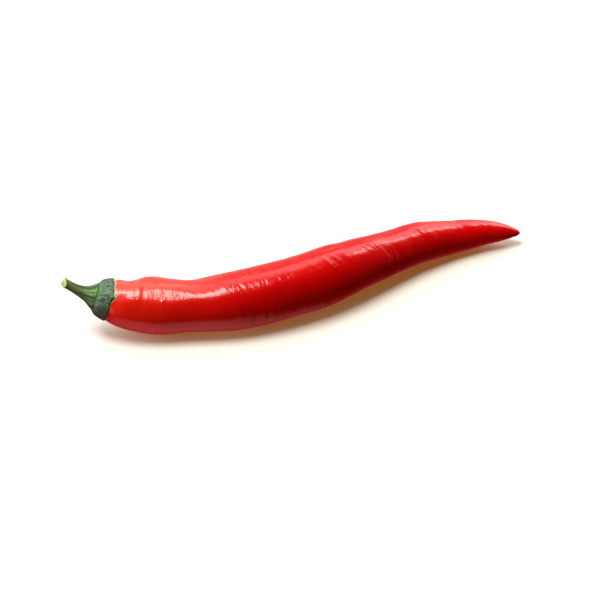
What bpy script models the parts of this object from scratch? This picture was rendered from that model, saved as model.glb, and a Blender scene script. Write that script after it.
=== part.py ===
# Long red chilli pepper, picked, lying on a flat surface.
# Three pieces that meet face to face: the red pod, the green calyx that caps its broad end, and the stem.
# Metres, +Z up. The pod's length runs along +X from the stem to the tip.
# The origin is at the bottom centre.

import math

import bmesh
import bpy
import numpy as np
from mathutils import Matrix

# The middle line of the whole chilli, from the stem's cut end to the pod's tip
MIDDLE_LINE = [
    (-0.0745, 0.0098, 0.01695),
    (-0.0696, 0.0068, 0.01415),
    (-0.0651, 0.0052, 0.01205),
    (-0.0620, 0.0043, 0.01085),
    (-0.0550, 0.0016, 0.00905),
    (-0.0485, 0.0000, 0.00845),
    (-0.0389, -0.0027, 0.00835),
    (-0.0292, -0.0045, 0.00866),
    (-0.0204, -0.0051, 0.00882),
    (-0.0124, -0.0050, 0.00895),
    (-0.0040, -0.0043, 0.00902),
    (0.0110, -0.0011, 0.00880),
    (0.0250, 0.0028, 0.00765),
    (0.0383, 0.0063, 0.00665),
    (0.0519, 0.0078, 0.00535),
    (0.0646, 0.0070, 0.00495),
    (0.0748, 0.0042, 0.00430),
]
RIM_POINT = 3  # the row of MIDDLE_LINE at the calyx's rim; distances along the line count from it

# Half outlines, as (distance along the middle line, radius)
POD_OUTLINE = [
    (-0.00270, 0.0000),
    (-0.00262, 0.0020),
    (-0.00235, 0.0035),
    (-0.00175, 0.0045),
    (-0.00090, 0.0050),
    (0.0000, 0.0053),
    (0.0012, 0.00602),
    (0.0024, 0.00673),
    (0.0038, 0.00714),
    (0.0080, 0.00775),
    (0.0138, 0.00847),
    (0.0196, 0.00826),
    (0.0246, 0.00796),
    (0.0340, 0.00836),
    (0.0435, 0.00872),
    (0.0520, 0.00887),
    (0.0610, 0.00887),
    (0.0755, 0.00847),
    (0.0895, 0.00734),
    (0.1035, 0.00653),
    (0.1110, 0.00602),
    (0.1170, 0.00541),
    (0.1235, 0.00477),
    (0.1295, 0.00388),
    (0.1345, 0.00275),
    (0.1380, 0.00153),
    (0.1396, 0.00061),
    (0.1400, 0.0000),
]
CALYX_OUTLINE = [
    (0.0002, 0.0063),
    (-0.0009, 0.0062),
    (-0.0021, 0.0059),
    (-0.0033, 0.0052),
    (-0.0041, 0.0042),
]
STEM_OUTLINE = [
    (-0.0044, 0.0040),
    (-0.0053, 0.0034),
    (-0.0068, 0.00245),
    (-0.0090, 0.00175),
    (-0.0115, 0.0014),
    (-0.0135, 0.00135),
    (-0.0148, 0.0015),
]
CUT_EDGE = 0.0002  # rounding of the stem's cut end
FACE_GAP = 0.0003  # clear space between two pieces that touch

# The pod's seed chambers show as soft lobes with furrows between them
LOBES = 3
LOBE_PEAK = math.radians(152)  # directions turn from the far side (+Y) over the top
LOBE_DEPTH = 0.020  # share of the radius
LOBE_FADE = (0.100, 0.138)  # the lobes fade out along this stretch

# Bulges and dents: distance along, direction in degrees, height, half length, half width in degrees
POD_BUMPS = [
    (0.0015, 43, 0.00034, 0.0025, 21),
    (0.0031, 128, -0.00042, 0.0020, 17),
    (0.0042, 51, -0.00054, 0.0037, 20),
    (0.0064, 79, 0.00043, 0.0029, 27),
    (0.0087, 101, 0.00029, 0.0016, 32),
    (0.0104, 73, 0.00051, 0.0025, 50),
    (0.0137, 49, 0.00051, 0.0030, 31),
    (0.0140, 77, -0.00024, 0.0026, 49),
    (0.0147, 91, 0.00032, 0.0025, 20),
    (0.0186, 119, -0.00027, 0.0055, 13),
    (0.0213, 81, 0.00030, 0.0038, 43),
    (0.0230, 44, -0.00054, 0.0057, 30),
    (0.0301, 105, -0.00026, 0.0042, 12),
    (0.0160, 218, 0.00038, 0.0070, 36),
    (0.0400, 218, 0.00092, 0.0130, 36),
    (0.0665, 228, 0.00060, 0.0080, 35),
    (0.0700, 65, 0.00020, 0.0045, 35),
    (0.0765, 65, -0.00020, 0.0030, 35),
    (0.0855, 96, 0.00034, 0.0034, 15),
    (0.1045, 55, 0.00040, 0.0050, 40),
]

# The calyx has ribs, which run out into teeth on its rim and on as ridges up the stem
RIBS = 5
RIB_PEAK = math.radians(132)
RIB_HEIGHT = 0.0002
RIB_START = 0.0012  # the ribs rise over this stretch from the calyx's stem end
TOOTH_LENGTH = 0.0011
TOOTH_ROOT = 0.0015  # how far back from the rim a tooth starts
RIDGE_DEPTH = 0.07  # share of the stem's radius

POD_SIDES, POD_RINGS = 32, 92
CALYX_SIDES, CALYX_RINGS = 40, 7
STEM_SIDES, STEM_RINGS = 30, 13
END_CROWDING = 0.4  # how much closer the pod's rings stand at its two ends
REST_BLOCK = (0.160, 0.060, 0.004)  # cuts the pod's low spots flat where it lies

# Colour and roughness
FINISHES = {
    "pod": ((0.62, 0.012, 0.008, 1.0), 0.22),
    "calyx": ((0.075, 0.115, 0.055, 1.0), 0.55),
    "stem": ((0.110, 0.190, 0.045, 1.0), 0.45),
}


def smooth_curve(points):
    """The natural cubic spline through the points, as a function of the distance along their chords, and how
    far along each point lies."""
    points = np.array(points, float)
    chords = np.linalg.norm(np.diff(points, axis=0), axis=1)
    knots = np.concatenate([[0.0], np.cumsum(chords)])
    slopes = np.diff(points, axis=0) / chords[:, None]
    matrix = np.eye(len(points))
    turns = np.zeros_like(points)
    for i in range(1, len(chords)):
        matrix[i, i - 1 : i + 2] = chords[i - 1], 2 * (chords[i - 1] + chords[i]), chords[i]
        turns[i] = 6 * (slopes[i] - slopes[i - 1])
    bends = np.linalg.solve(matrix, turns)

    def at(distance):
        i = np.clip(np.searchsorted(knots, distance) - 1, 0, len(chords) - 1)
        a = ((knots[i + 1] - distance) / chords[i])[:, None]
        b = 1 - a
        bend = ((a**3 - a) * bends[i] + (b**3 - b) * bends[i + 1]) * chords[i][:, None] ** 2 / 6
        return a * points[i] + b * points[i + 1] + bend

    return at, knots


def sampled(outline, count, crowding=0.0):
    """Points along the smooth curve through an outline, closer together at its ends by the share given."""
    at, knots = smooth_curve(outline)
    share = np.linspace(0, 1, count)
    share = share - crowding * np.sin(2 * np.pi * share) / (2 * np.pi)
    return at(share * knots[-1])


line_at, line_knots = smooth_curve(MIDDLE_LINE)
pod_profile = sampled(POD_OUTLINE, 600)


def pod_radius(along):
    """The pod's radius before its lobes and bumps."""
    return np.interp(along, pod_profile[:, 0], pod_profile[:, 1])


def pod_relief(along, angle):
    """How far the lobes, bulges and dents raise the pod's surface."""
    turn = LOBES * (angle - LOBE_PEAK)
    fade = np.clip((LOBE_FADE[1] - along) / (LOBE_FADE[1] - LOBE_FADE[0]), 0, 1)
    height = pod_radius(along) * LOBE_DEPTH * fade * (np.cos(turn) - 0.3 * np.cos(2 * turn))
    for place, direction, bump, half_length, half_width in POD_BUMPS:
        around = (np.degrees(angle) - direction + 180) % 360 - 180
        height += bump * np.exp(-(((along - place) / half_length) ** 2) - (around / half_width) ** 2)
    return height


def ribbed(angle):
    """1 along the calyx's ribs and 0 midway between them."""
    return (0.5 + 0.5 * np.cos(RIBS * (angle - RIB_PEAK))) ** 1.5


def on_line(along, angle, radius):
    """Points at these distances, directions and radii round the middle line."""
    along = along + line_knots[RIM_POINT]
    step = 0.0001
    forward = line_at(along + step) - line_at(along - step)
    forward /= np.linalg.norm(forward, axis=1)[:, None]
    up = np.array([0.0, 0.0, 1.0]) - forward[:, 2:] * forward
    up /= np.linalg.norm(up, axis=1)[:, None]
    side = np.cross(up, forward)
    return line_at(along) + radius[:, None] * (np.cos(angle)[:, None] * side + np.sin(angle)[:, None] * up)


def turned(name, outline, sides, shape):
    """A solid turned from a half outline that starts and ends on the middle line. The function shape moves its
    points (distance along, direction, radius), and the middle line carries them."""
    mesh = bpy.data.meshes.new(name + "_outline")
    edges = [(i, i + 1) for i in range(len(outline) - 1)]
    mesh.from_pydata([(radius, 0, along) for along, radius in outline], edges, [])
    profile = bpy.data.objects.new(name + "_outline", mesh)
    bpy.context.scene.collection.objects.link(profile)
    screw = profile.modifiers.new("turn", "SCREW")
    screw.axis = "Z"
    screw.steps = screw.render_steps = sides
    screw.use_merge_vertices = True
    screw.merge_threshold = 0.000001
    graph = bpy.context.evaluated_depsgraph_get()
    body = bpy.data.meshes.new_from_object(profile.evaluated_get(graph))
    bpy.data.objects.remove(profile)
    bpy.data.meshes.remove(mesh)

    points = np.zeros(len(body.vertices) * 3, np.float32)
    body.vertices.foreach_get("co", points)
    x, y, along = points.reshape(-1, 3).astype(float).T
    points = on_line(*shape(along, np.arctan2(y, x), np.hypot(x, y)))
    body.vertices.foreach_set("co", points.astype(np.float32).ravel())
    body.update()
    body.name = name
    return bpy.data.objects.new(name, body)


def on_pod(along, angle, radius):
    """Follows the pod's lobes and bumps, less and less towards the middle line."""
    share = np.clip(radius / np.maximum(pod_radius(along), 0.0001), 0, 1)
    return along, angle, radius + share * pod_relief(along, angle)


def make_pod():
    """The long tapering pod: soft lobes, a bulging shoulder and a pointed tip."""
    outline = sampled(POD_OUTLINE, POD_RINGS, END_CROWDING)
    return turned("pod", outline[::-1], POD_SIDES, on_pod)


def make_calyx():
    """The cap over the pod's broad end: ribs outside, teeth on its rim, and a hollow that fits the pod."""
    dome = [point for point in POD_OUTLINE if point[0] <= 0]
    lining = sampled(dome, CALYX_RINGS)
    lining[:, 0] -= FACE_GAP * np.linspace(1, 0, CALYX_RINGS)
    lining[1:, 1] += FACE_GAP
    outside = sampled(CALYX_OUTLINE, CALYX_RINGS)
    stem_end = CALYX_OUTLINE[-1][0]
    outline = [*lining, *outside, (stem_end, 0)]

    def shape(along, angle, radius):
        cover = radius - pod_radius(along)
        reach = np.clip(1 + along / TOOTH_ROOT, 0, 1)
        pushed = along + TOOTH_LENGTH * ribbed(angle) * reach
        radius = np.where(reach > 0, cover + pod_radius(pushed), radius)
        rise = np.clip((along - stem_end) / RIB_START, 0, 1) * np.clip(cover / FACE_GAP - 1, 0, 1)
        return on_pod(pushed, angle, radius + RIB_HEIGHT * ribbed(angle) * rise)

    return turned("calyx", outline, CALYX_SIDES, shape)


def make_stem():
    """The stalk: it flares at the calyx and ends in a plain cut."""
    side = sampled(STEM_OUTLINE, STEM_RINGS)
    end, radius = STEM_OUTLINE[-1]
    base = STEM_OUTLINE[0][0]
    outline = [(base, 0), *side, (end - CUT_EDGE, radius - CUT_EDGE), (end - CUT_EDGE, 0)]

    def shape(along, angle, radius):
        ridge = 1 + RIDGE_DEPTH * np.cos(RIBS * (angle - RIB_PEAK))
        return along, angle, radius * ridge

    return turned("stem", outline, STEM_SIDES, shape)


def add_part(obj, collection):
    """Puts a piece in the collection, shaded smooth, with its own material."""
    collection.objects.link(obj)
    obj.data.shade_smooth()
    obj.data.set_sharp_from_angle(angle=math.radians(40))
    colour, roughness = FINISHES[obj.name]
    material = bpy.data.materials.new(obj.name)
    material.use_nodes = True
    surface = material.node_tree.nodes["Principled BSDF"]
    surface.inputs["Base Color"].default_value = colour
    surface.inputs["Roughness"].default_value = roughness
    obj.data.materials.clear()
    obj.data.materials.append(material)


def cut_rest_spots(pod, cutters):
    """Cuts the pod's three low spots flat, level with the surface that it lies on."""
    mesh = bpy.data.meshes.new("surface_block")
    block = bmesh.new()
    bmesh.ops.create_cube(block, size=1, matrix=Matrix.Diagonal((*REST_BLOCK, 1)))
    bmesh.ops.translate(block, verts=block.verts, vec=(0, 0, -REST_BLOCK[2] / 2))
    block.to_mesh(mesh)
    block.free()
    cutter = bpy.data.objects.new("surface_block", mesh)
    cutters.objects.link(cutter)
    cutter.hide_render = True
    cutter.display_type = "WIRE"
    cut = pod.modifiers.new("rest_spots", "BOOLEAN")
    cut.operation = "DIFFERENCE"
    cut.object = cutter


def main():
    for obj in list(bpy.data.objects):
        bpy.data.objects.remove(obj)
    parts = bpy.data.collections.new("chilli_pepper")
    cutters = bpy.data.collections.new("cutters")
    for collection in (parts, cutters):
        bpy.context.scene.collection.children.link(collection)
    pod = make_pod()
    for piece in (pod, make_calyx(), make_stem()):
        add_part(piece, parts)
    cut_rest_spots(pod, cutters)


main()
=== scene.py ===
import math

import bpy
import numpy as np
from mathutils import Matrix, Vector


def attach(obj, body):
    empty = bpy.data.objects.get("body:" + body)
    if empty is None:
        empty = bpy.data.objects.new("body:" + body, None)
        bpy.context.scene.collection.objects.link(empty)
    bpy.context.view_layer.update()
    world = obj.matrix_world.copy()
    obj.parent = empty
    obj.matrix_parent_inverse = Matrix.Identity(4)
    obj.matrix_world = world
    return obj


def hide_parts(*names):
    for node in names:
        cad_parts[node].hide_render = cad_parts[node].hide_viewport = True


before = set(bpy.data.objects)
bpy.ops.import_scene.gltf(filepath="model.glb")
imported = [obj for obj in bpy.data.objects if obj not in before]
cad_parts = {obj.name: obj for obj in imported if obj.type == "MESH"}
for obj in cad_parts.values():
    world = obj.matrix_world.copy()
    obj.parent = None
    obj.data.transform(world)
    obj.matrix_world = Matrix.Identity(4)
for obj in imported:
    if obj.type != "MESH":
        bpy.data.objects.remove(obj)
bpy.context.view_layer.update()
mm = 0.001  # all sizes below are in millimetres, Blender's are in metres
print("chilli: frame loaded")


# Node helpers

class Wire:
    # a socket that can stand in an expression: numbers go through Math, vectors through Vector Math
    def __init__(self, socket):
        self.socket = socket

    def calc(self, operation, *others):
        kind = "ShaderNodeVectorMath" if self.socket.type == "VECTOR" else "ShaderNodeMath"
        node = self.socket.id_data.nodes.new(kind)
        node.operation = operation
        for slot, value in zip(node.inputs, (self, *others)):
            plug(slot, value)
        return Wire(node.outputs["Value" if operation == "DOT_PRODUCT" else 0])

    def scaled(self, amount):
        node = self.socket.id_data.nodes.new("ShaderNodeVectorMath")
        node.operation = "SCALE"
        plug(node.inputs["Vector"], self)
        plug(node.inputs["Scale"], amount)
        return Wire(node.outputs[0])

    def __add__(self, other):
        return self.calc("ADD", other)

    def __sub__(self, other):
        return self.calc("SUBTRACT", other)

    def __mul__(self, other):
        if self.socket.type == "VECTOR" and not isinstance(other, tuple):
            return self.scaled(other)
        return self.calc("MULTIPLY", other)

    def __truediv__(self, other):
        return self.calc("DIVIDE", other)

    def __pow__(self, other):
        return self.calc("POWER", other)

    def __radd__(self, other):
        return self + other

    def __rmul__(self, other):
        return self * other

    def __rsub__(self, other):
        return self * -1 + other

    def __neg__(self):
        return self * -1

    def cos(self):
        return self.calc("COSINE")

    def sin(self):
        return self.calc("SINE")

    def exp(self):
        return self.calc("EXPONENT")

    def root(self):
        return self.calc("SQRT")

    def atMost(self, other):
        return self.calc("MINIMUM", other)

    def atLeast(self, other):
        return self.calc("MAXIMUM", other)

    def span(self, low, high):
        # a share from 0 to 1, spread from low to high
        return self * (high - low) + low

    def twin(self, name):
        # another output of the same node
        return Wire(self.socket.node.outputs[name])


def plug(slot, value):
    if isinstance(value, Wire):
        slot.id_data.links.new(value.socket, slot)
    else:
        slot.default_value = value


class Board:
    # a node tree to add nodes to
    def __init__(self, tree):
        self.tree = tree

    def add(self, kind, settings=None, inputs=None, output=0):
        node = self.tree.nodes.new(kind)
        for name, value in (settings or {}).items():
            setattr(node, name, value)
        for name, value in (inputs or {}).items():
            plug(node.inputs[name], value)
        return Wire(node.outputs[output])

    def parts(self, vector):
        x = self.add("ShaderNodeSeparateXYZ", inputs={"Vector": vector})
        return x, x.twin("Y"), x.twin("Z")

    def vector(self, x, y, z):
        return self.add("ShaderNodeCombineXYZ", inputs={"X": x, "Y": y, "Z": z})

    def ease(self, value, low, high):
        # 0 below low, 1 above high, smooth between
        limits = {"Value": value, "From Min": low, "From Max": high}
        return self.add("ShaderNodeMapRange", {"interpolation_type": "SMOOTHSTEP"}, limits)

    def window(self, value, rise, fall):
        # rises from 0 to 1 over the first stretch and falls back over the second
        return self.ease(value, *rise) * (1 - self.ease(value, *fall))

    def grain(self, point, pattern, seed=0.0):
        # noise from 0 to 1 by a pattern: crowding round and along the piece, scale, detail, roughness, seed
        roundwise, lengthwise, scale, detail, roughness, ownSeed = pattern
        inputs = {"Vector": point * (roundwise, roundwise, lengthwise), "W": seed + ownSeed}
        inputs.update({"Scale": scale, "Detail": detail, "Roughness": roughness})
        return self.add("ShaderNodeTexNoise", {"noise_dimensions": "4D"}, inputs)

    def sway(self, point, pattern, seed=0.0):
        # the same noise, half up and half down
        return self.grain(point, pattern, seed) - 0.5

    def cells(self, point, scale):
        inputs = {"Vector": point, "Scale": scale}
        return self.add("ShaderNodeTexVoronoi", inputs=inputs, output="Distance")

    def mark(self, name):
        # a value that the piece's own nodes stored on its mesh
        return self.add("ShaderNodeAttribute", {"attribute_name": name}, output="Fac")

    def mix(self, share, first, second, way="MIX"):
        # colours, by their share from 0 to 1
        settings = {"data_type": "RGBA", "blend_type": way, "clamp_factor": True}
        return self.add("ShaderNodeMix", settings, {0: share, 6: first, 7: second}, 2)

    def bump(self, height, distance):
        return self.add("ShaderNodeBump", inputs={"Height": height, "Distance": distance, "Strength": 1.0})


def makeMaterial(name, constants, paint=None):
    material = bpy.data.materials.new(name)
    material.use_nodes = True
    surface = material.node_tree.nodes["Principled BSDF"]
    for slot, value in constants.items():
        surface.inputs[slot].default_value = value
    if paint:
        for slot, value in paint(Board(material.node_tree)).items():
            plug(surface.inputs[slot], value)
    return material


# The middle line that all pieces follow, and the swept form that they share

chilli = {
    "middleLine": [
        (-74.5, 9.8, 16.95),
        (-69.6, 6.8, 14.15),
        (-65.1, 5.2, 12.05),
        (-62.0, 4.3, 10.85),
        (-55.0, 1.6, 9.05),
        (-48.5, 0.0, 8.45),
        (-38.9, -2.7, 8.35),
        (-29.2, -4.5, 8.66),
        (-20.4, -5.1, 8.82),
        (-12.4, -5.0, 8.95),
        (-4.0, -4.3, 9.02),
        (11.0, -1.1, 8.80),
        (25.0, 2.8, 7.65),
        (38.3, 6.3, 6.65),
        (51.9, 7.8, 5.35),
        (64.6, 7.0, 4.95),
        (74.8, 4.2, 4.30),
    ],
    "rimPoint": 3,  # the row at the calyx's rim: distances along the line count from it
    "linePoints": 1500,
    "outlinePoints": 700,
    "mergeWithin": 0.002,  # joins the points at the closed ends and along the seam
    "seed": 4.0,
}


def smoothCurve(points, count):
    # evenly spaced points on the natural cubic spline through the given ones, and where those lie on it
    points = np.array(points, float)
    chords = np.linalg.norm(np.diff(points, axis=0), axis=1)
    knots = np.concatenate([[0.0], np.cumsum(chords)])
    slopes = np.diff(points, axis=0) / chords[:, None]
    matrix = np.eye(len(points))
    turns = np.zeros_like(points)
    for i in range(1, len(chords)):
        matrix[i, i - 1 : i + 2] = chords[i - 1], 2 * (chords[i - 1] + chords[i]), chords[i]
        turns[i] = 6 * (slopes[i] - slopes[i - 1])
    bends = np.linalg.solve(matrix, turns)
    distance = np.linspace(0, knots[-1], count)
    i = np.clip(np.searchsorted(knots, distance) - 1, 0, len(chords) - 1)
    a = ((knots[i + 1] - distance) / chords[i])[:, None]
    b = 1 - a
    bend = ((a**3 - a) * bends[i] + (b**3 - b) * bends[i + 1]) * chords[i][:, None] ** 2 / 6
    return a * points[i] + b * points[i + 1] + bend, knots


def lengths(points):
    return np.concatenate([[0.0], np.cumsum(np.linalg.norm(np.diff(points, axis=0), axis=1))])


linePoints, lineKnots = smoothCurve(chilli["middleLine"], chilli["linePoints"])
rimShare = lineKnots[chilli["rimPoint"]] / lineKnots[-1]
rimLength = np.interp(rimShare, np.linspace(0, 1, len(linePoints)), lengths(linePoints))


def guideCurve(name, outline):
    # one object with two splines: the middle line, and the piece's half outline in the XZ plane
    curve = bpy.data.curves.new(name + "Guide", "CURVE")
    curve.dimensions = "3D"
    for points in (linePoints, [(radius, 0, along) for along, radius in outline]):
        spline = curve.splines.new("POLY")
        spline.points.add(len(points) - 1)
        rows = np.column_stack([np.array(points) * mm, np.ones(len(points))])
        spline.points.foreach_set("co", rows.ravel())
    guide = bpy.data.objects.new(name + "Guide", curve)
    bpy.context.scene.collection.objects.link(guide)
    return guide


def sweepTree(name, sizes, form):
    # a grid of rings and sides, wrapped round the middle line at the outline's radius plus the relief
    tree = bpy.data.node_groups.new(name + "Nodes", "GeometryNodeTree")
    board = Board(tree)
    sockets = tree.interface
    sockets.new_socket("Geometry", in_out="OUTPUT", socket_type="NodeSocketGeometry")
    sockets.new_socket("Guide", in_out="INPUT", socket_type="NodeSocketGeometry")
    for label, value in sizes.items():
        kind = "NodeSocketInt" if isinstance(value, int) else "NodeSocketFloat"
        sockets.new_socket(label, in_out="INPUT", socket_type=kind)
    sockets.new_socket("Material", in_out="INPUT", socket_type="NodeSocketMaterial")
    entry = board.add("NodeGroupInput")
    size = {label: entry.twin(label) for label in sizes}
    guide = entry.twin("Guide")

    counts = {"Size X": 1.0, "Size Y": 1.0, "Vertices X": size["rings"], "Vertices Y": size["sides"] + 1}
    mesh = board.add("GeometryNodeMeshGrid", inputs=counts)
    x, y, _ = board.parts(board.add("GeometryNodeInputPosition"))
    turn = (y + 0.5) * math.tau
    onOutline = {"Curves": guide, "Factor": x + 0.5, "Curve Index": 1}
    byFactor = {"mode": "FACTOR", "use_all_curves": False}
    radius, _, along = board.parts(board.add("GeometryNodeSampleCurve", byFactor, onOutline, "Position"))
    radius = radius * (1 / mm)
    along = along * (1 / mm)
    shape = form(board, size, along, turn, radius)
    along = along + shape["push"]

    onLine = {"Curves": guide, "Length": (along + rimLength) * mm, "Curve Index": 0}
    byLength = {"mode": "LENGTH", "use_all_curves": False}
    middle = board.add("GeometryNodeSampleCurve", byLength, onLine, "Position")
    forward = middle.twin("Tangent")
    side = board.vector(0.0, 0.0, 1.0).calc("CROSS_PRODUCT", forward).calc("NORMALIZE")
    up = forward.calc("CROSS_PRODUCT", side)
    reach = (radius + shape["lift"]) * mm
    x, y, z = board.parts(middle + side * (turn.cos() * reach) + up * (turn.sin() * reach))
    place = board.vector(x, y, z.atLeast(0.0))  # nothing passes through the surface that it lies on

    skin = board.vector(turn.cos() * radius, turn.sin() * radius, along)
    stored = {"skinCoord": ("FLOAT_VECTOR", skin)}
    stored.update({label: ("FLOAT", value) for label, value in shape.get("marks", {}).items()})
    for label, (kind, value) in stored.items():
        inputs = {"Geometry": mesh, "Name": label, "Value": value}
        mesh = board.add("GeometryNodeStoreNamedAttribute", {"data_type": kind, "domain": "POINT"}, inputs)
    mesh = board.add("GeometryNodeSetPosition", inputs={"Geometry": mesh, "Position": place})
    mesh = board.add("GeometryNodeFlipFaces", inputs={"Mesh": mesh})
    merging = {"Geometry": mesh, "Distance": chilli["mergeWithin"] * mm}
    mesh = board.add("GeometryNodeMergeByDistance", inputs=merging)
    mesh = board.add("GeometryNodeSetShadeSmooth", inputs={"Geometry": mesh})
    mesh = board.add("GeometryNodeRealizeInstances", inputs={"Geometry": mesh})
    finish = {"Geometry": mesh, "Material": entry.twin("Material")}
    mesh = board.add("GeometryNodeSetMaterial", inputs=finish)
    leave = tree.nodes.new("NodeGroupOutput")
    plug(leave.inputs["Geometry"], mesh)
    return tree


def sweep(name, outline, sizes, form, material):
    # the finished plain mesh of a swept piece
    guide = guideCurve(name, smoothCurve(outline, chilli["outlinePoints"])[0])
    modifier = guide.modifiers.new("sweep", "NODES")
    modifier.node_group = sweepTree(name, sizes, form)
    values = {**sizes, "Material": material}
    for item in modifier.node_group.interface.items_tree:
        if item.in_out == "INPUT" and item.name in values:
            modifier[item.identifier] = values[item.name]
    graph = bpy.context.evaluated_depsgraph_get()
    mesh = bpy.data.meshes.new_from_object(guide.evaluated_get(graph))
    mesh.name = name
    guide.modifiers.clear()
    bpy.data.objects.remove(guide)
    piece = bpy.data.objects.new(name, mesh)
    bpy.context.scene.collection.objects.link(piece)
    print("chilli:", name, "made with", len(mesh.vertices), "points")
    return piece


def offAxis(turn, direction, halfWidth):
    # the squared distance round the piece from a direction, in half widths, smooth all the way round
    return (1 - (turn - math.radians(direction)).cos()) * (2 / math.radians(halfWidth) ** 2)


def swellings(along, turn, rows):
    # soft bulges and dents: distance along, direction in degrees, height, half length, half width
    total = None
    for place, direction, height, halfLength, halfWidth in rows:
        offset = (along - place) / halfLength
        swelling = (-(offset * offset) - offAxis(turn, direction, halfWidth)).exp() * height
        total = swelling if total is None else total + swelling
    return total


def wrapped(board, turn, along, girth):
    # where a pattern is read: round the piece at one fixed radius
    return board.vector(turn.cos() * girth, turn.sin() * girth, along)


# The pod

pod = {
    "outline": [
        (-2.70, 0.0),
        (-2.62, 2.0),
        (-2.35, 3.8),
        (-1.75, 5.0),
        (-0.90, 5.75),
        (0.0, 6.05),
        (1.2, 6.38),
        (2.4, 6.72),
        (3.8, 7.05),
        (8.0, 7.6),
        (13.8, 8.3),
        (19.6, 8.1),
        (24.6, 7.8),
        (34.0, 8.2),
        (43.5, 8.55),
        (52.0, 8.7),
        (61.0, 8.7),
        (75.5, 8.3),
        (89.5, 7.2),
        (103.5, 6.4),
        (111.0, 5.9),
        (117.0, 5.3),
        (123.5, 4.68),
        (129.5, 3.8),
        (134.5, 2.7),
        (138.0, 1.5),
        (139.6, 0.6),
        (140.0, 0.0),
    ],
    "nodeSizes": {
        "rings": 680,
        "sides": 144,
        "girth": 1.02,
        "lobeDepth": 0.020,  # share of the radius
        "ripple": 0.105,
        "mottle": 0.082,
        "teeth": 0.085,
        "unevenness": 0.10,
        "seed": chilli["seed"],
    },
    "lobes": 3,
    "lobePeak": 152,  # directions are in degrees, from the far side over the top
    "lobeFlatness": 0.3,  # broadens the lobes and narrows the furrows between them
    "lobeFade": (100.0, 138.0),
    "fullRelief": 3.0,  # the relief is whole from this radius and fades out where the ends close
    "bulges": [  # distance along, direction, height, half length, half width in degrees
        (1.5, 43, 0.34, 2.5, 21),
        (4.2, 51, -0.54, 3.7, 20),
        (6.4, 79, 0.43, 2.9, 27),
        (3.1, 128, -0.42, 2.0, 17),
        (10.4, 73, 0.51, 2.5, 50),
        (10.5, 105, -0.11, 1.4, 24),
        (14.0, 77, -0.24, 2.6, 49),
        (13.7, 49, 0.51, 3.0, 31),
        (21.3, 81, 0.30, 3.8, 43),
        (23.0, 44, -0.54, 5.7, 30),
        (14.7, 91, 0.32, 2.5, 20),
        (8.7, 101, 0.29, 1.6, 32),
        (18.6, 119, -0.27, 5.5, 13),
        (30.1, 105, -0.26, 4.2, 12),
        (16.0, 218, 0.38, 7.0, 36),
        (40.0, 218, 0.92, 13.0, 36),
        (66.5, 228, 0.60, 8.0, 35),
        (70.0, 65, 0.20, 4.5, 35),
        (76.5, 65, -0.20, 3.0, 35),
        (85.5, 96, 0.34, 3.4, 15),
        (104.5, 55, 0.40, 5.0, 40),
    ],
    "creases": [
        (10.3, 120, -0.05, 0.80, 24),
        (13.9, 117, -0.035, 0.60, 12),
        (17.0, 108, -0.04, 0.32, 8),
        (17.8, 112, -0.03, 0.28, 6),
        (11.9, 205, -0.06, 0.60, 24),
        (20.6, 330, -0.08, 0.60, 24),
        (9.4, 20, -0.10, 0.60, 26),
    ],
    "scars": [  # small dark marks: distance along, direction, darkness, half length, half width
        (16.4, 103, 0.8, 0.22, 1.1),
        (16.8, 106, 0.9, 0.24, 1.2),
        (17.3, 109, 1.0, 0.26, 1.3),
        (17.7, 112, 0.8, 0.22, 1.2),
        (18.4, 103, 0.5, 0.25, 1.0),
        (14.0, 112, 0.45, 0.25, 1.6),
        (14.6, 117, 0.45, 0.22, 1.6),
        (16.2, 119, 0.40, 0.30, 1.2),
        (6.6, 103, 0.6, 0.24, 1.4),
        (8.5, 104, 0.8, 0.26, 1.6),
        (7.3, 97, 0.4, 0.24, 1.4),
        (7.2, 122, 0.45, 0.26, 1.3),
    ],
    "scarDepth": 0.05,
    "pimples": [  # raised spots, in the same order
        (16.7, 133, 0.16, 0.36, 2.6),
        (17.6, 127, 0.09, 0.26, 1.9),
        (16.3, 143, 0.08, 0.26, 1.9),
        (17.2, 145, 0.08, 0.28, 1.8),
        (17.9, 155, 0.06, 0.26, 2.6),
        (41.1, 143, 0.12, 0.24, 1.8),
        (47.2, 148, 0.12, 0.22, 1.6),
    ],
    "roughStretches": [  # with short steep ripples: place, direction, share, half length, half width
        (40.5, 113, 0.9, 8.0, 24),
        (55.0, 108, 0.5, 6.0, 20),
        (83.5, 107, 1.8, 3.8, 12),
        (104.0, 112, 0.6, 7.0, 18),
    ],
    "furrow": {  # one long shallow furrow on the upper side
        "rise": (33.0, 45.0),
        "fall": (90.0, 108.0),
        "direction": 80,
        "halfWidth": 7.0,
        "depth": 0.16,
        "wander": 0.30,
    },
    "patternGirth": 8.0,  # the radius at which patterns are read
    "patterns": {  # crowding round and along the pod, scale, detail, roughness, seed
        "broad": (1.0, 0.45, 0.11, 1.5, 0.5, 0),
        "wander": (0.0, 1.0, 0.06, 1.0, 0.5, 7),
        "patch": (1.0, 0.6, 0.16, 1.0, 0.5, 3),
        "fine": (0.16, 1.0, 0.60, 1.5, 0.5, 1),
        "long": (0.10, 1.0, 0.25, 1.0, 0.5, 2),
        "teeth": (0.14, 1.0, 0.90, 1.0, 0.5, 5),
        "mottle": (1.0, 1.0, 0.42, 2.0, 0.5, 4),
    },
    "rippleSlant": 0.45,  # how far the ripples run along the pod, per length round it
    "slantStart": 100,  # the direction where their shift along the pod is 0
    "longShare": 1.6,  # of the long ripples beside the fine ones
    "patchEdge": (0.40, 0.62),
    "patchShare": (0.35, 1.25),  # of the ripples outside and inside their patches
    "shoulderEnd": (20.0, 30.0),  # from the shoulder to the smoother body
    "rippleShare": (0.2, 1.0),  # on the shoulder and past it
    "mottleShare": (1.0, 0.4),
}


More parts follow.
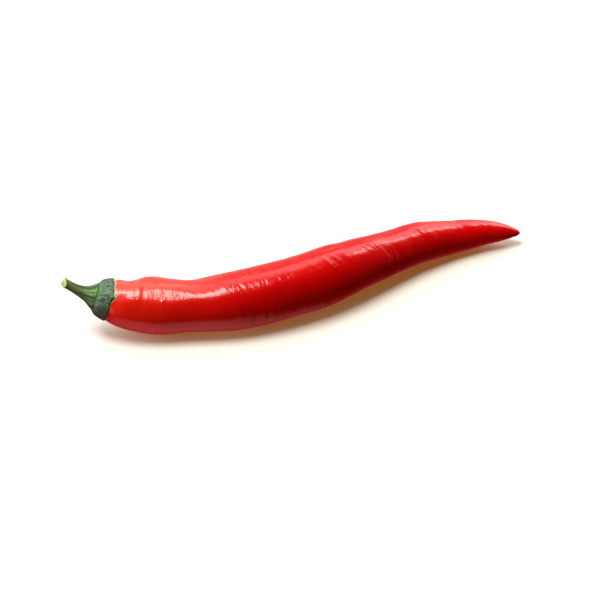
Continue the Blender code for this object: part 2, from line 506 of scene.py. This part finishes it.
def podForm(board, size, along, turn, radius):
    # the lobes of the seed chambers, with the bulges and dents of the whole pod
    around = (turn - math.radians(pod["lobePeak"])) * pod["lobes"]
    fade = 1 - board.ease(along, *pod["lobeFade"])
    wave = around.cos() - (around * 2).cos() * pod["lobeFlatness"]
    return wave * fade * radius * size["lobeDepth"] + swellings(along, turn, pod["bulges"])


def podFurrow(board, size, along, turn):
    # 1 along the middle of the long furrow and 0 beside it
    furrow = pod["furrow"]
    point = wrapped(board, turn, along, pod["patternGirth"])
    wander = board.sway(point, pod["patterns"]["wander"], size["seed"]) * furrow["wander"]
    off = offAxis(turn - wander, furrow["direction"], furrow["halfWidth"])
    return (-off).exp() * board.window(along, furrow["rise"], furrow["fall"])


def podRipples(board, size, along, turn):
    # cross ripples that are stronger in patches, a soft mottle, and short steep ripples in a few places
    patterns, seed = pod["patterns"], size["seed"]
    point = wrapped(board, turn, along, pod["patternGirth"])
    slant = (turn - math.radians(pod["slantStart"])).sin() * (pod["patternGirth"] * pod["rippleSlant"])
    slanted = wrapped(board, turn, along - slant, pod["patternGirth"])
    patch = board.ease(board.grain(point, patterns["patch"], seed), *pod["patchEdge"])
    past = board.ease(along, *pod["shoulderEnd"])
    ripples = board.sway(slanted, patterns["fine"], seed)
    ripples = ripples + board.sway(slanted, patterns["long"], seed) * pod["longShare"]
    ripples = ripples * patch.span(*pod["patchShare"]) * past.span(*pod["rippleShare"])
    mottle = board.sway(point, patterns["mottle"], seed) * past.span(*pod["mottleShare"])
    teeth = board.sway(slanted, patterns["teeth"], seed) * swellings(along, turn, pod["roughStretches"])
    return (ripples * size["ripple"] + mottle * size["mottle"] + teeth * size["teeth"]) * 2


def podRelief(board, size, along, turn, radius):
    point = wrapped(board, turn, along, pod["patternGirth"])
    broad = board.sway(point, pod["patterns"]["broad"], size["seed"]) * 2
    scars = swellings(along, turn, pod["scars"])
    furrow = podFurrow(board, size, along, turn)
    lift = podForm(board, size, along, turn, radius) + broad * size["unevenness"]
    lift = lift + radius * (size["girth"] - 1)
    lift = lift + swellings(along, turn, pod["creases"]) + swellings(along, turn, pod["pimples"])
    lift = lift - scars * pod["scarDepth"] - furrow * pod["furrow"]["depth"]
    lift = lift + podRipples(board, size, along, turn)
    marks = {"edgeGap": along - calyxEdge(board, turn), "furrow": furrow, "scar": scars}
    return {"lift": lift * board.ease(radius, 0.0, pod["fullRelief"]), "push": 0.0, "marks": marks}


# The calyx

calyx = {
    "lining": [
        (-3.0, 0.0),
        (-2.8, 2.6),
        (-2.3, 4.2),
        (-1.6, 5.1),
        (-0.6, 5.78),
        (0.25, 6.02),
    ],
    "outside": [
        (0.37, 6.20),
        (0.20, 6.36),
        (-0.3, 6.34),
        (-1.1, 6.18),
        (-2.1, 5.88),
        (-3.1, 5.40),
        (-3.8, 4.70),
        (-4.25, 4.05),
        (-4.3, 3.2),
        (-4.3, 0.0),
    ],
    "nodeSizes": {
        "rings": 150,
        "sides": 260,
        "lobeDepth": pod["nodeSizes"]["lobeDepth"],
        "girth": pod["nodeSizes"]["girth"],
        "ribHeight": 0.20,
        "shingle": 0.10,
        "seed": chilli["seed"] + 20,
    },
    "ribs": 5,
    "ribPeak": 132,
    "ribSharpness": 1.5,
    "ribEnds": ((-0.4, 0.4), (3.9, 4.3)),  # distances back from the rim where the ribs fade in and out
    "teeth": [  # direction, length, half width
        (130, 1.30, 7),
        (112, 0.40, 12),
        (58, -0.55, 24),
        (274, 0.90, 8),
        (349, 1.10, 7),
    ],
    "toothPoint": 0.15,  # how round a tooth's point is
    "toothFall": 1.6,  # how fast its flanks fall away
    "toothStretch": 1.8,
    "toothRoot": 1.6,
    "edge": 0.30,
    "raggedness": 0.60,
    "raggedFrom": 0.75,  # noise below this leaves the edge as it is
    "fineRags": 0.9,
    "podSlope": 0.27,  # how fast the pod widens under the calyx's edge
    "podGrip": (-4.0, 0.0),  # the calyx takes up the pod's girth over this stretch
    "fullForm": 5.0,  # it follows the pod's lobes in full from this radius
    "skinRadius": (6.10, 6.35),  # between the lining and the outside, at the rim
    "skinBack": (2.2, 2.9),  # and all of it is outside from here back
    "patternGirth": 6.0,
    "patterns": {  # crowding round and along the calyx, scale, detail, roughness, seed
        "rags": (1.0, 1.0, 3.0, 1.0, 0.5, 0),
        "fineRags": (1.0, 1.0, 14.0, 1.0, 0.6, 0),
        "shingle": (1.0, 0.42, 1.5, 2.5, 0.6, 0),
        "fineShingle": (1.0, 0.25, 3.4, 1.5, 0.5, 1),
    },
    "fineShingleShare": 0.5,
}


def calyxTeeth(board, turn):
    # how far the ragged edge reaches over the pod, beyond its lowest line
    patterns = calyx["patterns"]
    rim = wrapped(board, turn, 0.0, 1.0)
    rags = board.grain(rim, patterns["rags"], chilli["seed"])
    rags = rags + board.grain(rim, patterns["fineRags"], chilli["seed"]) * calyx["fineRags"]
    reach = (rags - calyx["raggedFrom"]).atLeast(0.0) * calyx["raggedness"]
    for direction, length, halfWidth in calyx["teeth"]:
        flank = (offAxis(turn, direction, halfWidth) + calyx["toothPoint"]).root()
        reach = reach + (flank * -calyx["toothFall"]).exp() * (length * calyx["toothStretch"])
    return reach


def calyxEdge(board, turn):
    return calyxTeeth(board, turn) + calyx["edge"]


def calyxRelief(board, size, along, turn, radius):
    patterns, seed = calyx["patterns"], size["seed"]
    push = calyxTeeth(board, turn) * board.ease(along, -calyx["toothRoot"], calyx["edge"])
    outside = board.ease(radius - along * calyx["podSlope"], *calyx["skinRadius"])
    outside = outside.atLeast(board.ease(-along, *calyx["skinBack"]))

    around = (turn - math.radians(calyx["ribPeak"])) * calyx["ribs"]
    ribs = (around.cos() * 0.5 + 0.5) ** calyx["ribSharpness"] * board.window(-along, *calyx["ribEnds"])
    point = wrapped(board, turn, along, calyx["patternGirth"])
    shingle = board.sway(point, patterns["shingle"], seed)
    shingle = shingle + board.sway(point, patterns["fineShingle"], seed) * calyx["fineShingleShare"]

    lift = podForm(board, size, along + push, turn, radius) * board.ease(radius, 0.0, calyx["fullForm"])
    lift = lift + push * calyx["podSlope"]
    lift = lift + board.ease(along, *calyx["podGrip"]) * radius * (size["girth"] - 1)
    skin = ribs * size["ribHeight"] + shingle * size["shingle"] * 2
    return {"lift": lift + skin * outside, "push": push}


# The stem

stem = {
    "outline": [
        (-4.28, 0.0),
        (-4.28, 2.0),
        (-4.30, 3.5),
        (-4.38, 4.05),
        (-4.75, 3.85),
        (-5.4, 3.35),
        (-6.8, 2.45),
        (-9.0, 1.76),
        (-11.5, 1.42),
        (-13.4, 1.36),
        (-14.3, 1.42),
        (-14.65, 1.50),
        (-14.88, 1.44),
        (-15.05, 1.30),
        (-15.16, 1.05),
        (-15.22, 0.7),
        (-15.24, 0.3),
        (-15.24, 0.0),
    ],
    "nodeSizes": {
        "rings": 260,
        "sides": 200,
        "ridge": 0.085,  # shares of the radius
        "furrow": 0.060,
        "fibre": 0.030,
        "knots": 0.070,
        "seed": chilli["seed"] + 40,
    },
    "folds": 5,
    "foldPeak": 115,
    "twist": 0.02,  # how far the ridges turn per millimetre
    "wander": (-1.0, 1.0),  # the ridges' sideways play, in their own waves
    "ridgeBreadth": 0.40,  # below 1 gives broad backs with narrow furrows between
    "ridgeLevel": 0.7,
    "furrowsPerFold": 3,
    "furrowWander": 14.0,
    "furrowBreadth": 0.60,
    "furrowLevel": 0.6,
    "furrowDepth": (0.5, 1.0),  # towards the cut end and at the calyx
    "furrowDeepens": (-11.0, -6.5),
    "ridgeTone": 0.65,  # the main ridges' share in the stored mark, the fine furrows have the rest
    "reliefRise": (4.3, 4.7),  # distances back from the rim
    "reliefFall": (14.6, 14.95),
    "endRelief": 0.7,  # how much of the relief the cut end loses
    "cutTilt": 0.85,  # how far the cut end leans, per length of its radius
    "cutFacing": 168,
    "cutShift": 0.35,
    "cutFrom": (13.0, 14.9),
    "cutFace": (14.80, 15.02),
    "patternGirth": 2.0,
    "patterns": {  # crowding round and along the stem, scale, detail, roughness, seed
        "wander": (1.0, 0.06, 0.9, 1.0, 0.5, 2),
        "fibre": (1.0, 0.10, 2.6, 2.5, 0.6, 0),
        "knots": (1.0, 0.6, 0.8, 1.5, 0.5, 1),
    },
}


def stemRelief(board, size, along, turn, radius):
    # five blunt ridges with narrow furrows between, and finer ones that wander
    patterns, seed = stem["patterns"], size["seed"]
    twist = turn + along * stem["twist"]
    point = wrapped(board, twist, along, stem["patternGirth"])
    around = (twist - math.radians(stem["foldPeak"])) * stem["folds"]
    wander = board.grain(point, patterns["wander"], seed)
    main = ((around + wander.span(*stem["wander"])).cos() * 0.5 + 0.5) ** stem["ridgeBreadth"]
    minor = around * stem["furrowsPerFold"] + wander * stem["furrowWander"]
    minor = (minor.cos() * 0.5 + 0.5) ** stem["furrowBreadth"]
    deep = board.ease(along, *stem["furrowDeepens"]).span(*stem["furrowDepth"])

    lift = (main - stem["ridgeLevel"]) * size["ridge"]
    lift = lift + (minor - stem["furrowLevel"]) * deep * size["furrow"]
    lift = lift + board.sway(point, patterns["fibre"], seed) * size["fibre"] * 2
    lift = lift + board.sway(point, patterns["knots"], seed) * size["knots"]
    side = board.ease(-along, *stem["reliefRise"])
    side = side * (1 - board.ease(-along, *stem["reliefFall"]) * stem["endRelief"])

    lean = (turn - math.radians(stem["cutFacing"])).cos() + stem["cutShift"]
    lean = lean * board.ease(-along, *stem["cutFrom"]) * stem["cutTilt"]
    ridge = main * stem["ridgeTone"] + minor * (1 - stem["ridgeTone"])
    marks = {"ridge": ridge, "cutFace": board.ease(-along, *stem["cutFace"])}
    return {"lift": lift * radius * side, "push": lean * radius, "marks": marks}


# Finishes. An Edge is the pair of levels between which something sets in, and a Share how much of it shows

def skinCoord(board):
    # the piece's own coordinates: across and up from its middle line, and the distance along it
    coord = board.add("ShaderNodeAttribute", {"attribute_name": "skinCoord"}, output="Vector")
    return coord, *board.parts(coord)


def facing(x, y):
    # the distance from the middle line, and how squarely the skin faces up: -1 below, 1 on top
    radius = (x * x + y * y).root()
    return radius, y / radius.atLeast(0.2)


podFinish = {
    "nearCalyx": (0.57, 0.0085, 0.0024, 1.0),
    "paintedSheen": (0.59, 0.040, 0.022, 1.0),  # painted sheen: paler orange where the shoulder faces up
    "body": (0.465, 0.0010, 0.0008, 1.0),
    "nearTip": (0.53, 0.0010, 0.0010, 1.0),
    "deepRed": (0.39, 0.0007, 0.0007, 1.0),
    "paleRed": (0.60, 0.0050, 0.0040, 1.0),
    "scar": (0.10, 0.010, 0.008, 1.0),
    "rim": (0.62, 0.38, 0.20, 1.0),
    "tipScar": (0.50, 0.20, 0.12, 1.0),
    "patterns": {
        "blotch": (1.0, 0.5, 0.16, 3.0, 0.55, 2),
        "specks": (1.0, 0.7, 1.4, 3.0, 0.6, 3),
        "rimPatches": (1.0, 1.0, 0.55, 2.0, 0.6, 9),
        "dullness": (1.0, 0.8, 0.7, 3.0, 0.6, 5),
        "peel": (1.0, 1.0, 1.7, 2.0, 0.5, 6),
        "ripple": (0.20, 1.0, 0.95, 2.0, 0.55, 7),
        "ripplePatch": (1.0, 1.0, 0.10, 1.0, 0.5, 8),
    },
    "bodyFrom": (8.0, 44.0),  # stretches along the pod
    "tipFrom": (90.0, 114.0),
    "paintedSheenEnd": (20.0, 33.0),
    "tipScarFrom": (139.0, 139.9),
    "paintedSheenTurn": (0.76, 0.95),  # how squarely the skin has to face up
    "blotchEdge": (0.42, 0.80),
    "blotchShare": (0.45, 0.15),  # beside the painted sheen and on it
    "furrowShare": 0.5,
    "scarShare": 0.8,
    "speckEdge": (0.54, 0.80),
    "speckShare": 0.35,
    "rimWidth": 0.30,
    "rimPatchEdge": (0.35, 0.65),
    "rimPatchWidth": (0.4, 1.6),
    "rimTop": (3.0, 6.0),  # the rim is wider on the upper side
    "rimTopWidth": (0.6, 1.8),
    "rimSoftness": (0.4, 1.8),  # where the rim starts and stops fading, in its widths
    "rimFadeEdge": (0.35, 0.60),
    "rimShare": (0.4, 0.9),
    "roughness": 0.21,
    "roughnessRange": 0.14,
    "rimRoughness": 0.2,
    "scarRoughness": 0.3,
    "pitScale": 0.60,  # small pits, in the dark blotches only
    "pitCrowding": 0.8,
    "pitSize": (0.07, 0.20),
    "pitBlotches": (0.45, 0.60),
    "pitDepth": 0.35,
    "peelHeight": 0.30,
    "ripplePatchEdge": (0.40, 0.62),
    "ripplePatchShare": (0.25, 1.0),
    "rippleFrom": (18.0, 30.0),
    "rippleShare": (0.15, 1.0),
    "bumpHeight": 0.15,
}


def podRim(board, coord, y):
    # the pale line where the pod comes out from under the calyx, patchy and wider on top
    finish = podFinish
    patches = board.grain(coord, finish["patterns"]["rimPatches"])
    width = board.ease(patches, *finish["rimPatchEdge"]).span(*finish["rimPatchWidth"]) * finish["rimWidth"]
    width = width * board.ease(y, *finish["rimTop"]).span(*finish["rimTopWidth"])
    inner, outer = finish["rimSoftness"]
    line = 1 - board.ease(board.mark("edgeGap"), width * inner, width * outer)
    return line * board.ease(patches, *finish["rimFadeEdge"]).span(*finish["rimShare"])


def podPaint(board):
    finish, patterns = podFinish, podFinish["patterns"]
    coord, x, y, along = skinCoord(board)
    squarely = facing(x, y)[1]
    scar = board.mark("scar")
    rim = podRim(board, coord, y)
    # painted sheen: where the shoulder faces up, its red is painted paler and more orange
    paintedSheen = board.ease(squarely, *finish["paintedSheenTurn"]) * (1 - board.ease(along, *finish["paintedSheenEnd"]))
    blotch = board.grain(coord, patterns["blotch"])
    deep = board.ease(blotch, *finish["blotchEdge"]) * paintedSheen.span(*finish["blotchShare"])
    # painted shade: the long furrow is coloured deeper red as well as dented
    deep = deep + board.mark("furrow") * finish["furrowShare"]
    specks = board.ease(board.grain(coord, patterns["specks"]), *finish["speckEdge"])

    # lighter red near the calyx and the tip, darker along the middle: partly the pod's own tone, partly
    # painted shade along the middle
    colour = board.mix(board.ease(along, *finish["bodyFrom"]), finish["nearCalyx"], finish["body"])
    colour = board.mix(board.ease(along, *finish["tipFrom"]), colour, finish["nearTip"])
    colour = board.mix(paintedSheen, colour, finish["paintedSheen"])
    colour = board.mix(deep, colour, finish["deepRed"])
    colour = board.mix(scar * finish["scarShare"], colour, finish["scar"])
    colour = board.mix(specks * finish["speckShare"], colour, finish["paleRed"])
    colour = board.mix(rim, colour, finish["rim"])
    colour = board.mix(board.ease(along, *finish["tipScarFrom"]), colour, finish["tipScar"])

    roughness = board.sway(coord, patterns["dullness"]) * finish["roughnessRange"] + finish["roughness"]
    roughness = roughness + rim * finish["rimRoughness"] + scar * finish["scarRoughness"]

    pits = board.cells(coord * (1.0, 1.0, finish["pitCrowding"]), finish["pitScale"])
    pits = (1 - board.ease(pits, *finish["pitSize"])) * board.ease(blotch, *finish["pitBlotches"])
    patch = board.ease(board.grain(coord, patterns["ripplePatch"]), *finish["ripplePatchEdge"])
    ripple = board.grain(coord, patterns["ripple"]) * patch.span(*finish["ripplePatchShare"])
    ripple = ripple * board.ease(along, *finish["rippleFrom"]).span(*finish["rippleShare"])
    peel = board.grain(coord, patterns["peel"]) * finish["peelHeight"]
    normal = board.bump(ripple + peel - pits * finish["pitDepth"], finish["bumpHeight"] * mm)
    return {"Base Color": colour, "Roughness": roughness, "Normal": normal}


calyxFinish = {
    "dark": (0.010, 0.020, 0.013, 1.0),
    "body": (0.058, 0.092, 0.058, 1.0),
    "fresh": (0.045, 0.165, 0.024, 1.0),
    "edge": (0.20, 0.24, 0.07, 1.0),
    # painted sheen: the pale bluish colour of the strokes on the calyx's upper side
    "strokeSheen": (0.19, 0.27, 0.20, 1.0),
    "patterns": {
        "streaks": (1.0, 0.40, 1.5, 3.0, 0.6, 11),
        "fine": (1.0, 0.22, 3.6, 2.0, 0.6, 12),
        "strokes": (1.0, 0.16, 3.0, 1.0, 0.5, 14),
        "fresh": (1.0, 1.0, 0.36, 1.0, 0.5, 13),
    },
    "streakEdge": (0.34, 0.60),
    "fineEdge": (0.48, 0.58),
    "fineShare": 0.75,
    "strokeEdge": (0.50, 0.64),
    "sheenSide": (-3.0, 4.0),  # from the lower side to the upper; the pale strokes are painted sheen on top
    "strokeShare": 0.65,
    "freshSpots": [(-0.3, 62, 1.0, 0.9, 9), (0.9, 124, 1.0, 1.1, 8)],
    "freshEdge": (0.52, 0.66),
    "freshShare": 0.35,
    "freshRim": (-0.4, 0.5),  # fresh green patches near the rim
    "freshRimEdge": (0.44, 0.54),
    "freshRimShare": 0.6,
    "freshBack": (2.8, 4.2),  # and all round where the stem starts
    "freshBackShare": 0.12,
    "shadeSide": (-4.0, 3.0),
    "shadeShare": 0.40,
    "paleEdge": (0.85, 2.0),
    "paleEdgeShare": 0.4,
    "roughness": (0.44, 0.64),
    "fineBump": 0.6,
    "bumpHeight": 0.10,
}


def calyxPaint(board):
    finish, patterns = calyxFinish, calyxFinish["patterns"]
    coord, x, y, along = skinCoord(board)
    streaks = board.grain(coord, patterns["streaks"])
    fine = board.grain(coord, patterns["fine"])
    # painted sheen: pale bluish strokes, kept to the upper side where the light falls
    strokes = board.ease(board.grain(coord, patterns["strokes"]), *finish["strokeEdge"])
    strokes = strokes * board.ease(y, *finish["sheenSide"])
    fresh = board.grain(coord, patterns["fresh"])
    freshRim = board.ease(along, *finish["freshRim"]) * board.ease(fresh, *finish["freshRimEdge"])
    freshness = board.ease(fresh, *finish["freshEdge"]) * finish["freshShare"]
    freshness = freshness + freshRim * finish["freshRimShare"]
    freshness = freshness + swellings(along, y.calc("ARCTAN2", x), finish["freshSpots"])
    freshness = freshness + board.ease(-along, *finish["freshBack"]) * finish["freshBackShare"]
    shade = 1 - board.ease(y, *finish["shadeSide"])

    colour = board.mix(board.ease(streaks, *finish["streakEdge"]), finish["dark"], finish["body"])
    colour = board.mix(board.ease(fine, *finish["fineEdge"]) * finish["fineShare"], colour, finish["dark"])
    colour = board.mix(strokes * finish["strokeShare"], colour, finish["strokeSheen"])
    colour = board.mix(freshness, colour, finish["fresh"])
    colour = board.mix(shade * finish["shadeShare"], colour, finish["dark"])
    paleEdge = board.ease(along, *finish["paleEdge"]) * finish["paleEdgeShare"]
    colour = board.mix(paleEdge, colour, finish["edge"])
    normal = board.bump(streaks + fine * finish["fineBump"], finish["bumpHeight"] * mm)
    return {"Base Color": colour, "Roughness": fine.span(*finish["roughness"]), "Normal": normal}


stemFinish = {
    "dark": (0.012, 0.030, 0.006, 1.0),
    "body": (0.052, 0.110, 0.020, 1.0),
    # painted highlight on the backs of the ridges
    "light": (0.140, 0.240, 0.060, 1.0),
    "bark": (0.075, 0.062, 0.028, 1.0),
    "cut": (0.40, 0.45, 0.15, 1.0),
    "pith": (0.31, 0.35, 0.12, 1.0),
    "patterns": {
        "fibre": (1.0, 0.08, 2.8, 3.0, 0.6, 21),
        "fine": (1.0, 0.10, 8.0, 2.0, 0.6, 22),
        "bark": (1.0, 0.15, 0.8, 2.0, 0.6, 23),
    },
    "bodyEdge": (0.25, 0.80),
    "young": (-11.0, -7.0),  # the fresh green end, next to the calyx, where the painted highlight on the ridges is also strongest
    "fibreLight": 1.2,
    "lightEdge": (1.25, 1.65),
    "lightShare": (0.3, 1.0),
    "barkEdge": (0.46, 0.62),
    "barkShare": 0.90,
    "fineEdge": (0.50, 0.70),
    "fineShare": 0.5,
    "underShadeTurn": (-0.35, 0.55),  # how far down the skin has to face for the painted shade
    "underShadeShare": 0.75,
    "pithEdge": (0.80, 1.20),
    "roughness": (0.42, 0.62),
    "fineBump": 0.5,
    "bumpHeight": 0.07,
}


def stemPaint(board):
    finish, patterns = stemFinish, stemFinish["patterns"]
    coord, x, y, along = skinCoord(board)
    radius, squarely = facing(x, y)
    ridge = board.mark("ridge")
    fibre = board.grain(coord, patterns["fibre"])
    fine = board.grain(coord, patterns["fine"])
    young = board.ease(along, *finish["young"])
    # painted highlight: the backs of the ridges are paler green, most near the calyx
    light = board.ease(ridge + fibre * finish["fibreLight"], *finish["lightEdge"])
    light = light * young.span(*finish["lightShare"])
    bark = board.ease(board.grain(coord, patterns["bark"]), *finish["barkEdge"]) * (1 - young)
    # painted shade: the underside of the stem is darker
    underShade = 1 - board.ease(squarely, *finish["underShadeTurn"])

    # darker in the furrows between the ridges: painted shade; the fibres' streaks mixed in are the stem's
    # own
    tone = board.ease(ridge + (fibre - 0.5), *finish["bodyEdge"])
    colour = board.mix(tone, finish["dark"], finish["body"])
    colour = board.mix(light, colour, finish["light"])
    colour = board.mix(bark * finish["barkShare"], colour, finish["bark"])
    colour = board.mix(board.ease(fine, *finish["fineEdge"]) * finish["fineShare"], colour, finish["dark"])
    colour = board.mix(underShade * finish["underShadeShare"], colour, finish["dark"])
    cutEnd = board.mix(1 - board.ease(radius, *finish["pithEdge"]), finish["cut"], finish["pith"])
    colour = board.mix(board.mark("cutFace"), colour, cutEnd)
    normal = board.bump(fibre + fine * finish["fineBump"], finish["bumpHeight"] * mm)
    return {"Base Color": colour, "Roughness": fine.span(*finish["roughness"]), "Normal": normal}


waxyRed = makeMaterial("waxyRed", {"IOR": 1.45}, podPaint)
dullGreen = makeMaterial("dullGreen", {"IOR": 1.45, "Specular IOR Level": 0.35}, calyxPaint)
ridgedGreen = makeMaterial("ridgedGreen", {"IOR": 1.45, "Specular IOR Level": 0.35}, stemPaint)
print("chilli: finishes ready")


# The pieces

podSkin = sweep("podSkin", pod["outline"], pod["nodeSizes"], podRelief, waxyRed)
calyxOutline = calyx["lining"] + calyx["outside"]
calyxCap = sweep("calyxCap", calyxOutline, calyx["nodeSizes"], calyxRelief, dullGreen)
stemStalk = sweep("stemStalk", stem["outline"], stem["nodeSizes"], stemRelief, ridgedGreen)
for piece, node in ((podSkin, "pod"), (calyxCap, "calyx"), (stemStalk, "stem")):
    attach(piece, "root")
    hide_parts(node)
print("chilli: pieces in place")


# Studio: a pale floor, a soft box above, and a world that the skin mirrors. Heights of lights are degrees
# above the front horizon, past 90 behind the chilli and below 0 under it, and sides are degrees to the right

studio = {
    "viewSide": 17.9,  # degrees that the camera stands to the left of the pod's front
    "viewHeight": 40.0,
    "viewDistance": 432.0,
    "viewTarget": (-5.95, -10.01, 7.78),
    "lens": 85.0,
    "filmWidth": 36.0,
    "nearLimit": 10.0,
    "floorSize": 8000.0,
    "floorColour": (0.62, 0.63, 0.62, 1.0),
    "floorRoughness": 0.6,
    "floorShine": 0.2,
    # painted warm light: the floor glows faintly in this colour, which warms its shadows
    "shadowWarmth": (0.15, 0.070, 0.010, 1.0),
    "boxSize": (420.0, 400.0),
    "boxDistance": 750.0,
    "boxHeight": 91.0,
    "boxSide": -14.2,
    "boxGlow": 18.0,
    "boxColour": (1.0, 0.98, 0.90),
}

side, height = math.radians(studio["viewSide"]), math.radians(studio["viewHeight"])
right = Vector((math.cos(side), -math.sin(side), 0.0))
away = Vector((math.sin(side), math.cos(side), 0.0))
upwards = Vector((0.0, 0.0, 1.0))
target = Vector(studio["viewTarget"]) * mm
towards = upwards * math.sin(height) - away * math.cos(height)
lens = bpy.data.cameras.new("camera")
lens.lens = studio["lens"]
lens.sensor_width = studio["filmWidth"]
lens.sensor_fit = "HORIZONTAL"
lens.clip_start = studio["nearLimit"] * mm
camera = bpy.data.objects.new("camera", lens)
camera.location = target + towards * studio["viewDistance"] * mm
camera.rotation_euler = towards.to_track_quat("Z", "Y").to_euler()
bpy.context.scene.collection.objects.link(camera)
bpy.context.scene.camera = camera

floorMesh = bpy.data.meshes.new("floor")
half = studio["floorSize"] * mm / 2
corners = [(-half, -half, 0), (half, -half, 0), (half, half, 0), (-half, half, 0)]
floorMesh.from_pydata(corners, [], [(0, 1, 2, 3)])
floor = bpy.data.objects.new("floor", floorMesh)
bpy.context.scene.collection.objects.link(floor)
floorLook = {
    "Base Color": studio["floorColour"],
    "Roughness": studio["floorRoughness"],
    "Specular IOR Level": studio["floorShine"],
    "Emission Color": studio["shadowWarmth"],
    "Emission Strength": 1.0,
}
floorMesh.materials.append(makeMaterial("paleFloor", floorLook))
for rays in ("glossy", "diffuse", "shadow"):
    setattr(floor, "visible_" + rays, False)  # light from below comes from the world's soft glow instead


sky = {
    "panelGlow": 2.8,  # an upright light panel behind, whose edges slope with the side
    "panelLow": (0.9, 116.0, 128.0),  # slope, height straight behind, greatest height
    "panelHigh": (0.6, 143.0),
    "panelLowEdge": (-3.0, 4.0),
    "panelHighEdge": (-4.0, 5.0),
    "panelSides": (-12.0, 4.0),
    "panelShare": (0.6, 1.0),  # its light on the left and on the right
    "footGlow": 0.4,  # the dimmer light behind, below the panel
    "footLeft": (-13.0, -4.0),
    "footRight": (3.0, 24.0),
    "footRightGlow": 1.7,
    "spot": (130.0, 27.0),  # a bright spot in the panel: height and side
    "spotHalf": (8.0, 3.2),
    "spotGlow": 14.0,
    "farFloor": (-162.0, -140.0),  # the floor behind, in the skin's upper edge
    "farFloorGlow": 0.6,
    "leftLight": (36.0, 58.0),  # degrees to the left: the light there grows over this stretch
    "leftRise": (-30.0, -10.0),
    "leftFall": (95.0, 115.0),
    "leftGlow": 3.6,
    "floorGlow": (1.70, 0.50, 0.52, 1.0),  # the floor as the skin mirrors it, warm with the chilli's light
    "floorTop": (-44.0, -30.0),
    "floorLeft": (-42.0, -18.0),
    "floorRight": (10.0, 28.0),
    "floorDims": (-122.0, -52.0),  # the floor's glow weakens from the front towards the back
    "floorShare": (0.08, 1.0),
    "ember": (0.10, 0.012, 0.010, 1.0),  # red light that the chilli's own warm shade throws back up
    "emberTop": (0.0, 30.0),
}
black = (0.0, 0.0, 0.0, 1.0)


def lightBehind(board, above, across):
    # the panel, the dimmer light below it, the bright spot in it and the far floor
    slope, middle, top = sky["panelLow"]
    lower = (across * slope + middle).atMost(top)
    slope, middle = sky["panelHigh"]
    upper = across * slope + middle
    past = board.ease(above - upper, *sky["panelHighEdge"])
    panel = board.ease(above - lower, *sky["panelLowEdge"]) * (1 - past)
    panel = panel * board.ease(across, *sky["panelSides"]).span(*sky["panelShare"])
    foot = 1 - board.ease(across, *sky["footLeft"]) + sky["footGlow"]
    foot = foot + board.ease(across, *sky["footRight"]) * sky["footRightGlow"]
    rise = (above - sky["spot"][0]) / sky["spotHalf"][0]
    swing = (across - sky["spot"][1]) / sky["spotHalf"][1]
    spot = (-(rise * rise) - swing * swing).exp()
    farFloor = 1 - board.ease(above, *sky["farFloor"])
    behind = panel * sky["panelGlow"] + foot * past
    return behind + spot * sky["spotGlow"] + farFloor * sky["farFloorGlow"]


def lightBelow(board, above, across):
    # the colour of the glow from the floor in front, and of the faint red one all round below
    floorShare = 1 - board.ease(above, *sky["floorTop"])
    floorShare = floorShare * board.window(across, sky["floorLeft"], sky["floorRight"])
    floorShare = floorShare * board.ease(above, *sky["floorDims"]).span(*sky["floorShare"])
    ember = board.mix(board.ease(above, *sky["emberTop"]), sky["ember"], black)
    return board.mix(1.0, ember, board.mix(floorShare, black, sky["floorGlow"]), "ADD")


world = bpy.data.worlds.new("studioDome")
bpy.context.scene.world = world
world.use_nodes = True
board = Board(world.node_tree)
skyPoint = board.add("ShaderNodeTexCoord", output="Generated")
toFront = skyPoint.calc("DOT_PRODUCT", tuple(-away))
across = skyPoint.calc("DOT_PRODUCT", tuple(right)).calc("ARCSINE") * math.degrees(1)
above = board.parts(skyPoint)[2].calc("ARCTAN2", toFront) * math.degrees(1)
leftSide = board.ease(-across, *sky["leftLight"]) * board.window(above, sky["leftRise"], sky["leftFall"])
white = lightBehind(board, above, across) + leftSide * sky["leftGlow"]
background = world.node_tree.nodes["Background"]
plug(background.inputs["Color"], board.mix(1.0, white, lightBelow(board, above, across), "ADD"))

boxLight = bpy.data.lights.new("softBox", "AREA")
boxLight.shape = "ELLIPSE"
boxLight.color = studio["boxColour"]
boxLight.size, boxLight.size_y = (extent * mm for extent in studio["boxSize"])
boxArea = math.pi / 4 * boxLight.size * boxLight.size_y
boxLight.energy = studio["boxGlow"] * math.pi * boxArea
box = bpy.data.objects.new("softBox", boxLight)
rise, swing = math.radians(studio["boxHeight"]), math.radians(studio["boxSide"])
towardsBox = (upwards * math.sin(rise) - away * math.cos(rise)) * math.cos(swing) + right * math.sin(swing)
box.location = target + towardsBox * studio["boxDistance"] * mm
box.rotation_euler = towardsBox.to_track_quat("Z", "Y").to_euler()
bpy.context.scene.collection.objects.link(box)
bpy.context.scene.view_settings.view_transform = "Standard"
print("chilli: studio set")
